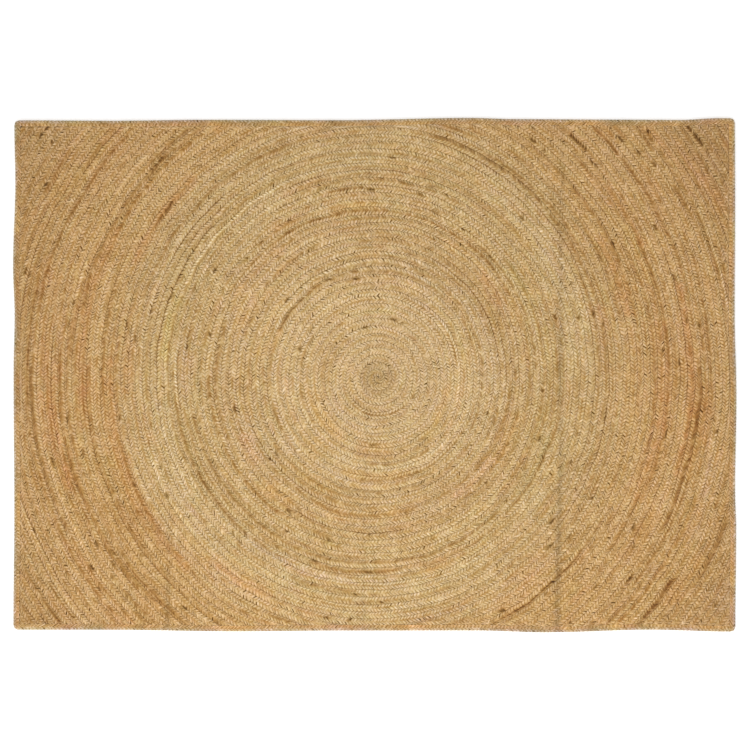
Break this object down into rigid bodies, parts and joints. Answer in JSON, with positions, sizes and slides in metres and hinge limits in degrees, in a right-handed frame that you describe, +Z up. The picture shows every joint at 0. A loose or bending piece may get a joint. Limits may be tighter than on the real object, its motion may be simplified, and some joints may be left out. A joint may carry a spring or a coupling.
{
  "type": "jute rug",
  "caption": "Rectangular floor rug of flat jute braid, wound round from the middle, sewn turn to turn and bound with a braid at its edge.",
  "frame": {"origin": "under the middle of the rug, on the surface it lies on", "axes": "+X along the rug's length, +Y across it, +Z up out of the surface"},
  "size_m": [1.7047, 1.213, 0.0096],
  "materials": {
    "field_jute": "natural undyed jute braid, matt, tan with grey, straw, orange and dark brown strands",
    "binding_jute": "natural undyed jute braid, matt, golden tan with orange and grey strands"
  },
  "bodies": {
    "root": {"field": "field_jute", "edge_braid": "binding_jute"}
  },
  "joints": []
}
